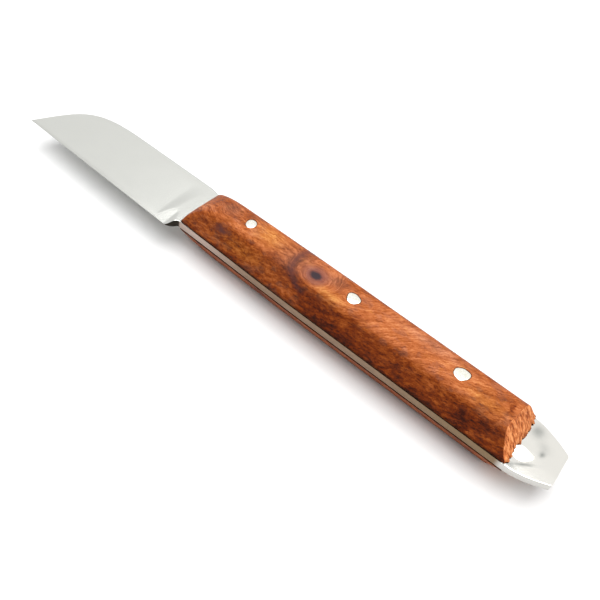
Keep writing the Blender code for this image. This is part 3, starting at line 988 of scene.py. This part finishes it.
class KnifeSteel(Surface):
    """Satin blade, buffed tail with painted grey reflections, warm brown rough-ground walls, and painted
    shade under the scales, in the choil and on the far-facing arrises.
    """

    def __init__(self, name):
        super().__init__(name)
        self.x, self.y, self.z = x, y, z = self.place()
        self.wall = self.smooth(self.math("ABSOLUTE", self.normal()[2]), 0.55, 0.35)
        self.on_tail = self.near_rear(3.0, 1.0)
        self.scratches = self.noise((x, y, z), (0.25, 9.0, 1.0), 4, 0.7)
        self.blotches = self.noise((x, z, y), (0.35, 1.2, 0.3), 4, 0.6)

    def near_rear(self, start, end, to_low=0.0, to_high=1.0):
        """Ease from to_low to to_high between two distances before the handle's rear end."""
        rear = HANDLE_LENGTH / MM
        return self.smooth(self.x, rear - start, rear - end, to_low, to_high)

    def blade_color(self):
        """Satin, with long fine scratches from the belt and a slow cloudiness."""
        clouds = self.noise((self.x, self.y, self.z), (0.12, 0.16, 0.1), 3, 0.5)
        clouded = self.math("MULTIPLY_ADD", clouds, 0.05, -0.025)
        scratched = self.math("MULTIPLY_ADD", self.scratches, 0.05, -0.025)
        return self.darken(BLADE_COLOR, self.total(scratched, clouded, 1.0))

    def tail_color(self):
        """Polished, with painted grey reflections round the flat."""
        waves = self.noise((self.x, self.y, self.z), (0.5, 0.5, 0.1), 3)
        u = self.math("MULTIPLY_ADD", waves, 1.2, self.minus(self.x, 0.6))
        level = self.math("MULTIPLY_ADD", u, -REFLECTION_LINE_SLOPE, self.y)
        painted_reflections = [(u, self.y, *reflection_patch) for reflection_patch in TAIL_REFLECTION_PATCHES] + [(u, level, *DARK_REFLECTION_LINE)]
        reflection_share = self.total(*(
            self.times(self.spot(along, across, place, size), strength)
            for along, across, place, size, strength in painted_reflections
        ))
        return self.mix(reflection_share, TAIL_COLOR, REFLECTION_GREY)

    def face_color(self):
        color = self.mix(self.on_tail, self.blade_color(), self.tail_color())
        # Painted shade: the tang's faces under the scales are nearly black, so the gap along the wood shows
        # as a shadowed seam.
        under_scales_shade = self.times(self.smooth(self.x, 0.2, 8.0), self.near_rear(1.3, 1.6))
        return self.mix(under_scales_shade, color, UNDER_SCALES_SHADE)

    def wall_color(self):
        """Warm grey-brown along the tang; in the choil a painted near-black shade that stands in for the
        shadowed floor it reflects.
        """
        tang = self.mix(self.blotches, TANG_DARK, TANG_LIGHT)
        tang = self.mix(self.smooth(self.x, 28.0, 4.0), tang, TANG_FRONT)
        tang = self.mix(self.smooth(self.x, 60.0, 100.0, 0.0, 0.6), tang, TANG_REAR)
        at_choil = self.times(self.smooth(self.x, -2.6, -2.1), self.smooth(self.y, -5.0, -7.0))
        # Painted shade: the choil wall is nearly black, standing in for the shadowed floor it reflects.
        choil_shade = self.times(at_choil, self.smooth(self.x, 0.6, 0.0))
        color = self.mix(self.smooth(self.x, -0.6, 0.4), BARE_WALL, tang)
        color = self.mix(at_choil, color, tang)
        color = self.mix(choil_shade, color, CHOIL_SHADE_COLOR)
        return self.mix(self.on_tail, color, TAIL_WALL)

    def build(self):
        color = self.mix(self.wall, self.face_color(), self.wall_color())
        # Painted reflection: surfaces facing the far side are greyed, standing in for the darker line their
        # rounded arrises reflect.
        far_arris_shade = self.smooth(self.normal()[1], 0.12, 0.50, 0.0, 0.75)
        color = self.mix(far_arris_shade, color, FAR_ARRIS_SHADE_COLOR)
        scratch_roughness = self.smooth(self.on_tail, 0.0, 1.0, 0.10, 0.03)
        roughness = self.total(
            self.math("MULTIPLY_ADD", self.scratches, scratch_roughness, 0.17),
            self.times(self.wall, 0.25),
            self.times(self.on_tail, -0.09),
        )
        relief = self.total(self.scratches, self.times(self.blotches, self.wall))
        self.bump(relief, 0.012 * MM, self.near_rear(3.0, 1.0, 0.35, 0.08))
        return self.finish(color, roughness, metallic=1.0)


def peened_metal():
    """Bright pin heads with hammer dimples and a warm cast."""
    s = Surface("peened_metal")
    x, y, z = s.place()
    vector = s.add("ShaderNodeCombineXYZ", x, y, z).outputs[0]
    dimples = s.add("ShaderNodeTexVoronoi", vector, feature="SMOOTH_F1")
    dimples.inputs["Scale"].default_value = 0.9
    dimples.inputs["Smoothness"].default_value = 0.6
    marks = s.noise((x, y, z), (2.2, 2.2, 2.2), 3, 0.6)
    color = s.mix(s.smooth(marks, 0.35, 0.65), (0.93, 0.91, 0.78), (1.0, 0.99, 0.91))
    s.bump(s.math("MULTIPLY_ADD", marks, 0.15, dimples.outputs[0]), 0.02 * MM, 0.5)
    roughness = s.math("MULTIPLY_ADD", marks, 0.06, 0.13)
    return s.finish(color, roughness, metallic=1.0)


def paper_floor():
    s = Surface("paper_floor")
    fibres = s.noise(s.place(), (0.4, 0.4, 0.4), 2, 0.5)
    color = s.darken((0.78, 0.78, 0.78), s.math("MULTIPLY_ADD", fibres, 0.01, 0.995))
    return s.finish(color, 0.8, specular=0.2)


steel = KnifeSteel("knife_steel").build()
# The rear-flank tone is painted shade: darker on the upper scale, a little lighter on the lower.
upper_wood = HandleWood("handle_wood_upper", shift=0.0, rear_flank_shade_tone=-0.11).build()
lower_wood = HandleWood("handle_wood_lower", shift=61.0, rear_flank_shade_tone=0.04).build()
pin_metal = peened_metal()

# ---------------------------------------------------------------- build the knife

blank = make_blank()
upper = make_scale("upper_scale_wood", 1, 0.1)
lower = make_scale("lower_scale_wood", -1, 0.6)
for pin in PINS:
    for target in (blank, upper, lower):
        drill(target, pin)
pins = [make_pin(pin) for pin in PINS]

for piece, node, slot, surface in (
    (blank, "blade_and_tang", "blade_steel", steel),
    (upper, "upper_scale", "handle_wood", upper_wood),
    (lower, "lower_scale", "handle_wood", lower_wood),
):
    piece.data.materials.clear()
    piece.data.materials.append(surface)
    piece.data.set_sharp_from_angle(angle=math.radians(32))
    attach(piece, "root")
    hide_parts(node)
for piece, pin in zip(pins, PINS):
    piece.data.materials.append(pin_metal)
    piece.data.set_sharp_from_angle(angle=math.radians(40))
    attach(piece, "root")
    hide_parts(pin.node)

# ---------------------------------------------------------------- floor, light and camera

FLOOR_SIZE = 3.0
floor_mesh = bpy.data.meshes.new("floor")
half = FLOOR_SIZE / 2
corners = [(-half, -half, 0), (half, -half, 0), (half, half, 0), (-half, half, 0)]
floor_mesh.from_pydata(corners, [], [(0, 1, 2, 3)])
floor = bpy.data.objects.new("floor", floor_mesh)
bpy.context.scene.collection.objects.link(floor)
floor_mesh.materials.append(paper_floor())


def surrounding_light(back, front, horizon):
    """A world that is bright behind the knife, dimmer on the camera's side and pale along the horizon."""
    world = bpy.data.worlds.new("studio")
    world.use_nodes = True
    tree = world.node_tree
    place = tree.nodes.new("ShaderNodeTexCoord").outputs["Generated"]
    parts = tree.nodes.new("ShaderNodeSeparateXYZ")
    tree.links.new(place, parts.inputs[0])

    def spread(value, from_low, from_high, to_low, to_high):
        node = tree.nodes.new("ShaderNodeMapRange")
        node.interpolation_type = "SMOOTHSTEP"
        for socket, number in zip(node.inputs[1:5], (from_low, from_high, to_low, to_high)):
            socket.default_value = number
        tree.links.new(value, node.inputs[0])
        return node.outputs[0]

    depth = spread(parts.outputs["Y"], -0.35, 0.45, front, back)
    low = spread(parts.outputs["Z"], 0.04, 0.30, 1.0, 0.0)
    mix = tree.nodes.new("ShaderNodeMix")
    tree.links.new(low, mix.inputs[0])
    tree.links.new(depth, mix.inputs[2])
    mix.inputs[3].default_value = horizon
    tree.links.new(mix.outputs[0], tree.nodes["Background"].inputs["Color"])
    tree.nodes["Background"].inputs["Strength"].default_value = 1.0
    return world


bpy.context.scene.world = surrounding_light(back=0.9, front=0.35, horizon=0.8)
bpy.context.scene.view_settings.view_transform = "Standard"


def area_light(name, direction, distance, size, power):
    """A rectangular softbox at a distance along a direction, turned towards the knife."""
    data = bpy.data.lights.new(name, "AREA")
    data.shape = "RECTANGLE"
    data.size, data.size_y = size
    data.energy = power
    lamp = bpy.data.objects.new(name, data)
    bpy.context.scene.collection.objects.link(lamp)
    heading = Vector(direction).normalized()
    lamp.location = heading * distance
    lamp.rotation_euler = heading.to_track_quat("Z", "Y").to_euler()
    return lamp


area_light("softbox", direction=(-0.05, 0.0, 1.0), distance=0.9, size=(1.2, 0.85), power=13.0)

CAMERA_AZIMUTH = math.radians(28.1)
CAMERA_ELEVATION = math.radians(48.2)
CAMERA_ROLL = math.radians(14.58)
CAMERA_PLACE = Vector((96.57, -109.24, 133.11)) * MM      # in knife coordinates
CAMERA_LENS = 41.47

camera_data = bpy.data.cameras.new("camera")
camera_data.lens = CAMERA_LENS
camera_data.sensor_width = 36.0
camera_data.clip_start = 0.005
camera = bpy.data.objects.new("camera", camera_data)
bpy.context.scene.collection.objects.link(camera)
back = Vector((
    math.sin(CAMERA_AZIMUTH) * math.cos(CAMERA_ELEVATION),
    -math.cos(CAMERA_AZIMUTH) * math.cos(CAMERA_ELEVATION),
    math.sin(CAMERA_ELEVATION),
))
level = Vector((0, 0, 1)).cross(back).normalized()
upward = back.cross(level)
right = level * math.cos(CAMERA_ROLL) + upward * math.sin(CAMERA_ROLL)
up = upward * math.cos(CAMERA_ROLL) - level * math.sin(CAMERA_ROLL)
turn = Matrix((right, up, back)).transposed().to_4x4()
camera.matrix_world = Matrix.Translation(CAMERA_PLACE + ORIGIN) @ turn
bpy.context.scene.camera = camera
